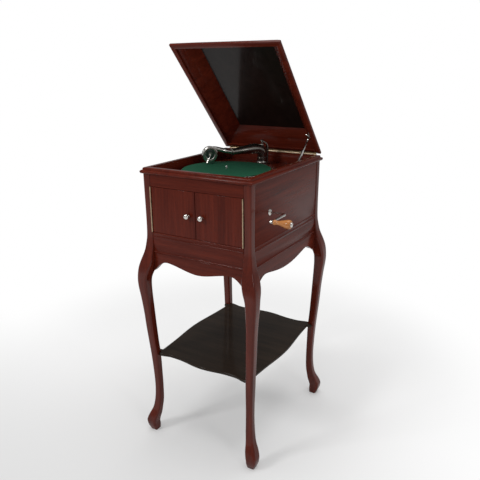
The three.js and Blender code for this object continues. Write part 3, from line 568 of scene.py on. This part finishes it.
# %% The door knobs
KNOB_STEM = [(0, 0), (4, 0), (4, 1), (2.8, 2.5), (2.8, 4)]
KNOB_BALL = [(2.8, 4), (6.5, 6), (8.8, 9), (9.3, 12), (8.3, 15.5), (5, 18), (0, 19)]
knob_profile = np.vstack([softened(KNOB_STEM, 0.4), smooth_curve(KNOB_BALL, 30)[1:]])
for side in ("left", "right"):
    low, high = corners("door_knob_" + side)
    foot = ((low[0] + high[0]) / 2, high[1], (low[2] + high[2]) / 2)
    finished("door_knob_" + side, [lathed(knob_profile, foot, (0, -1, 0))], nickel)
print("two knobs of", round(2 * knob_profile[:, 0].max(), 1), "mm")

# %% [markdown]
# The turntable is a pressed plate with a rolled edge. On it lies a disc of green felt, cut round with a
# hole for the spindle and glued down, so it is a laid sheet: it has its cut size and a soft edge, and
# nothing hangs over.

# %% The turntable and its felt
joints = {joint["name"]: joint for joint in record["behaviour"]["joints"]}


def joint_place(name):
    """The place of a joint, in metres."""
    return np.array(joints[name]["pos_m"])


plate_low, plate_high = corners("turntable_plate")
spindle_foot = joint_place("turntable_spin") * (1, 1, 0)
HOLE_R, DISC_AROUND = 3.9, 160
PLATE_R = (plate_high[0] - plate_low[0]) / 2 / MM
PLATE_TOP = plate_high[2] / MM
PLATE_PROFILE = [(HOLE_R, -13.5), (15, -13.5), (15, -3.5), (PLATE_R - 3, -3.5),
                 (PLATE_R - 3, -13), (PLATE_R, -13), (PLATE_R, 0), (HOLE_R, 0), (HOLE_R, -13.5)]
plate_profile = [(r, PLATE_TOP + h) for r, h in PLATE_PROFILE]
plate_grid = lathed(softened(plate_profile, 1.4), spindle_foot, (0, 0, 1), DISC_AROUND)
finished("turntable_plate", [plate_grid], nickel)

FELT_R, FELT_TOP = PLATE_R - 2.4, PLATE_TOP + 1.5
felt_profile = [(HOLE_R, PLATE_TOP), (FELT_R, PLATE_TOP), (FELT_R, FELT_TOP),
                (HOLE_R, FELT_TOP), (HOLE_R, PLATE_TOP)]
felt_grid = lathed(softened(felt_profile, 0.6), spindle_foot, (0, 0, 1), DISC_AROUND)
felt = finished("turntable_felt", [felt_grid], finish_of_slot["felt"], crease=60)
felt_area = math.pi * (FELT_R ** 2 - HOLE_R ** 2) * MM ** 2
2 * FELT_R * MM
2 * FELT_R * MM
print("felt disc of", round(2 * FELT_R, 1), "mm,", round(felt_area, 4), "square metres")

# %% [markdown]
# The tone arm is a hollow horn of its own. It rises out of its base, turns over the pivot and tapers to
# a collar, and the gooseneck swivels in that collar. Its pieces are laid out along the arm, the way a
# maker would draw them, and then turned to where the joint's axis says that the arm rests.

# %% The tone arm
arm_way = np.array(joints["sound_box_tilt"]["axis"])
arm_across = np.array([-arm_way[1], arm_way[0], 0])
straight_up = np.array([0, 0, 1])
pivot = joint_place("tone_arm_swing") * (1, 1, 0)
ARM_Z = joint_place("sound_box_tilt")[2] / MM
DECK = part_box("motor_board")[1][2] / MM
ALONG_ARM, ACROSS_ARM, UP = (1, 0, 0), (0, 1, 0), (0, 0, 1)


def on_arm(points):
    """Along the arm, across it and up, in millimetres, to a place in the frame in metres."""
    p = np.asarray(points, float)
    place = p[:, :1] * arm_way + p[:, 1:2] * arm_across + p[:, 2:3] * straight_up
    return np.hstack([pivot + MM * place, MM * p[:, 3:]])


def above_line(stations):
    """Stations (x, y, z, radius) whose heights count from the arm's line, in the frame."""
    return on_arm([(x, y, ARM_Z + z, r) for x, y, z, r in stations])


def arm_lathed(profile, at, way):
    """A turned form whose origin and axis are given along the arm, across it and up."""
    origin = on_arm([at])[0]
    axis = way[0] * arm_way + way[1] * arm_across + way[2] * straight_up
    return lathed(softened(profile, 0.4), origin, axis)


TUBE_STATIONS = [
    (0, 0, -27.4, 17), (0.2, 0, -19, 17.6), (1.2, 0, -10, 18.3), (4.5, 0, -3, 18.5),
    (11, 0, 1.6, 18.5), (21, 0, 4.4, 18.5), (34, 0, 5.3, 18.4), (60, 0, 4.2, 16.6),
    (92, 0, 1.8, 13), (126, 0, 0, 10.5)]
NECK_STATIONS = [
    (126.8, 0, 0, 8), (148, -1, 5, 8), (166, -6, 10, 8), (182, -16.5, 14, 7.6),
    (196, -23.5, 14, 7), (208, -26.5, 7, 6.4), (212, -22, -0.7, 6), (212, -9.3, -1.7, 5.6)]
BOSS = [(0, 10), (6.5, 10), (6, 20.4), (0, 20.4)]
COLLAR = [(0, 118), (12.4, 118), (13, 119.5), (13, 125), (12.4, 126.4), (0, 126.4)]
# The tube, its boss and its collar take the darker nickel, a painted reflection.
finished("tone_arm_tube", [
    piped(above_line(TUBE_STATIONS), 70, 64),
    arm_lathed([(r, ARM_Z + h) for r, h in BOSS], (0, 0, 0), UP),
    arm_lathed(COLLAR, (0, 0, ARM_Z), ALONG_ARM)], nickel_painted_dark)
finished("gooseneck", [piped(above_line(NECK_STATIONS), 80)], nickel)
arm_degrees = math.degrees(math.atan2(arm_way[1], arm_way[0]))
print("tone arm laid at", round(arm_degrees, 1), "degrees")

# %% [markdown]
# The sound box is a shallow drum. Its back is nickel, and a front ring holds the mica at its rim. The
# needle bar, which is a CAD node with soft shading, reaches over the ring to the middle of the mica.

# %% The sound box
BOX_AT = (212, 0, ARM_Z - 1.7)
HOUSING = [(6.2, -9), (24, -9), (28.5, -6.5), (28.5, 2), (25.5, 2), (25.5, -3), (10, -5.5),
           (6.2, -5.5), (6.2, -9)]
FRONT_RING = [(17, 2.3), (28.5, 2.3), (28, 4), (25.5, 4.6), (18.5, 4.6), (17, 4), (17, 2.3)]
MICA_DISC = [(0, 0.6), (25.2, 0.6), (25.2, 1.6), (0, 1.6)]
for node, profile, finish in (
        ("sound_box_housing", HOUSING, nickel), ("sound_box_front_ring", FRONT_RING, nickel),
        ("diaphragm", MICA_DISC, finish_of_slot["mica"])):
    finished(node, [arm_lathed(profile, BOX_AT, ACROSS_ARM)], finish)
print("sound box of", round(2 * FRONT_RING[1][0]), "mm")

# %% [markdown]
# The arm's base is cast and turned: a flange on the deck, a waist and a lip that the tube stands over.
# A flat yoke springs from the flange, arches over the tube and carries the pivot screw. The yoke is a
# small rounded rectangle carried along its own smooth curve.

# %% The tone arm's base
BASE = [(13, 0), (30, 0), (30, 2), (27, 5), (20, 7), (18.5, 12), (18.5, 23), (20, 24), (20, 26),
        (13, 26), (13, 0)]
PIVOT_SCREW = [(0, 21), (2.6, 21), (2.6, 29), (6, 30), (6.4, 34), (4, 36), (0, 36.4)]
YOKE_SECTION = softened([(2, 5), (-2, 5), (-2, -5), (2, -5), (2, 5)], 1.0)[:-1]
YOKE_RINGS = 48


def yoke_surface():
    """The section carried along a curve: place + out (the way there, turned by a quarter), with
    its wide side across the arm."""
    line = smooth_curve([
        (-22, DECK + 2), (-22.5, DECK + 20), (-22.5, ARM_Z - 12), (-22, ARM_Z + 6),
        (-18, ARM_Z + 19), (-9, ARM_Z + 26.5), (0, ARM_Z + 28)], YOKE_RINGS)
    way = np.gradient(line, axis=0)
    way /= np.linalg.norm(way, axis=1, keepdims=True)
    outward = np.stack([way[:, 1], -way[:, 0]], -1)[:, None]
    out, wide = YOKE_SECTION[None, :, :1], YOKE_SECTION[None, :, 1:]
    flat = line[:, None] + out * outward
    wide = np.broadcast_to(wide, (YOKE_RINGS, wide.shape[1], 1))
    grid = np.concatenate([flat[..., :1], wide, flat[..., 1:]], -1)
    return on_arm(grid.reshape(-1, 3)).reshape(grid.shape)


# The base and its yoke take the darker nickel too, a painted reflection.
finished("tone_arm_base", [
    arm_lathed([(r, DECK + h) for r, h in BASE], (0, 0, 0), UP),
    arm_lathed([(r, ARM_Z + h) for r, h in PIVOT_SCREW], (0, 0, 0), UP),
    yoke_surface()], nickel_painted_dark)
print("base with its yoke, top at", round(ARM_Z + PIVOT_SCREW[-1][1], 1), "mm")

# %% [markdown]
# The crank's grip is turned from pale varnished wood, thin at the shaft and fullest near its free end,
# and it spins on its pin. The escutcheon is a small nickel cup round the shaft.

# %% The crank's grip and escutcheon
GRIP = [(6, 0), (8, 3), (8, 6), (6.4, 11), (6.6, 18), (9.2, 29), (12.4, 41), (13.5, 49),
        (12.6, 55), (9.5, 58)]
GRIP_BORE, SHAFT_BORE = 3.06, 3.555
CUP = [(SHAFT_BORE, 0), (10.5, 0), (10, 1.7), (6.5, 3.7), (SHAFT_BORE, 3.7), (SHAFT_BORE, 0)]

grip_low, grip_high = corners("crank_handle")
grip_foot = (grip_low[0], *joint_place("grip_spin")[1:])
bore_line = [(GRIP_BORE, GRIP[-1][1]), (GRIP_BORE, 0)]
grip_profile = np.vstack([[(GRIP_BORE, 0)], smooth_curve(GRIP, 50), bore_line])
finished("crank_handle", [lathed(grip_profile, grip_foot, (1, 0, 0))], honey_wood)

cup_foot = (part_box("crank_escutcheon")[0][0], *joint_place("crank_spin")[1:])
finished("crank_escutcheon", [lathed(softened(CUP, 0.5), cup_foot, (1, 0, 0))], nickel)
print("grip of", round((grip_high[0] - grip_low[0]) / MM), "mm")

# %% [markdown]
# The cabinet stands against white, with a floor that turns light grey towards the viewer and a soft
# shadow round the feet. A big plane is the floor. Its grey in front is painted shade, put into both its
# paint and the light of its own that the camera sees. What the camera sees of it is white behind the
# cabinet and far out. It still takes the real shadow, because near the feet only part of what the
# camera sees is light of its own.

# %% The floor
IS_CAMERA_RAY, IS_GLOSSY_RAY = 0, 3  # outputs of Light Path
# The grey ends are painted shade: the floor is made darker towards the viewer, in its paint and in its
# glow.
GREY_GLOW_PAINTED_SHADE, WHITE_SHADE = (0.76, 0.76, 0.76), (1.0, 1.0, 1.0)
GREY_PAINTED_SHADE, WHITE_PAINT = (0.72, 0.72, 0.72), (0.92, 0.92, 0.92)
FLOOR_HALF, FLOOR_Z = 12.0, -0.0005


def floor_finish():
    """Grey in front, which is painted shade, and white behind. Close to the cabinet most of it is plain
    paint, which takes the real shadow, and farther out the camera sees more of the same colour as light
    of its own."""
    made, tree = material("pale floor")
    place = make(tree, "TexCoord", output=OBJECT_PLACE)
    depth = make(tree, "SeparateXYZ", output=1, Vector=place)
    away = make(tree, "VectorMath", {"operation": "DISTANCE"}, output=1,
                **{"0": place, "1": (-0.3, 0.3, 0)})
    # Where the painted shade fades out: behind the cabinet and far from it the floor turns white.
    behind = ramp_between(tree, depth, -0.85, 0.2)
    outside = ramp_between(tree, away, 1.4, 3.0)
    whiter = behind.maths("MAXIMUM", outside)
    shade = blend_colour(tree, whiter, GREY_GLOW_PAINTED_SHADE, WHITE_SHADE)
    painted = blend_colour(tree, whiter, GREY_PAINTED_SHADE, WHITE_PAINT)
    share = ramp_between(tree, away, 0.6, 1.3, start=0.22, end=1.0)
    plain = make(tree, "BsdfDiffuse", Color=painted)
    glow = make(tree, "Emission", Color=shade, Strength=1.0)
    seen = make(tree, "LightPath", output=IS_CAMERA_RAY)
    mix = make(tree, "MixShader", **{"0": seen * share, "1": plain, "2": glow})
    tree.links.new(mix.out, tree.nodes.new("ShaderNodeOutputMaterial").inputs["Surface"])
    return made


def flat_plane(name, half, z):
    """A level square at a height, which reaches half metres each way from the middle."""
    mesh = bpy.data.meshes.new(name)
    square = half * np.array([[-1, -1], [1, -1], [1, 1], [-1, 1]])
    mesh.from_pydata([(*c, z) for c in square.tolist()], [], [(0, 1, 2, 3)])
    plane = bpy.data.objects.new(name, mesh)
    bpy.context.collection.objects.link(plane)
    return plane


floor = flat_plane("floor", FLOOR_HALF, FLOOR_Z)
floor.data.materials.append(floor_finish())
print("a floor of", round(2 * FLOOR_HALF), "metres")

# %% [markdown]
# The world is white for the camera. The light that it throws on the cabinet is much weaker, and it is
# weaker still in mirror reflections, because polished wood would turn grey under a white sky. A key
# lamp at the left, a big soft one overhead and a small fill at the right do the rest.

# %% World and lamps
AMBIENT, MIRRORED = 0.45, 0.32
world = bpy.data.worlds.new("studio")
bpy.context.scene.world = world
world.use_nodes = True
sky = world.node_tree
sky.nodes.clear()
path_camera = make(sky, "LightPath", output=IS_CAMERA_RAY)
path_glossy = make(sky, "LightPath", output=IS_GLOSSY_RAY)
strength = path_camera * (1 - AMBIENT) + path_glossy * (MIRRORED - AMBIENT) + AMBIENT
backdrop = make(sky, "Background", Color=(1, 1, 1, 1), Strength=strength)
sky.links.new(backdrop.out, sky.nodes.new("ShaderNodeOutputWorld").inputs["Surface"])


def softbox(name, place, aim, size, power):
    """A square lamp at a place, turned to a point: its side in metres and its power in watts."""
    lamp = bpy.data.lights.new(name, "AREA")
    lamp.shape, lamp.size, lamp.energy = "SQUARE", size, power
    thing = bpy.data.objects.new(name, lamp)
    facing = (Vector(aim) - Vector(place)).to_track_quat("-Z", "Y").to_matrix().to_4x4()
    thing.matrix_world = Matrix.Translation(place) @ facing
    bpy.context.collection.objects.link(thing)


CASE_MIDDLE, FEET = (0, 0, 0.8), (0, 0, 0)
softbox("key", (-1.6, -2.6, 2.6), CASE_MIDDLE, 0.75, 38)
softbox("fill", (2.4, -1.2, 1.8), CASE_MIDDLE, 0.4, 5)
softbox("overhead", (0.0, 0.2, 3.6), FEET, 2.4, 56)
bpy.context.scene.view_settings.view_transform = "Standard"
print("three lamps and a world of", AMBIENT)
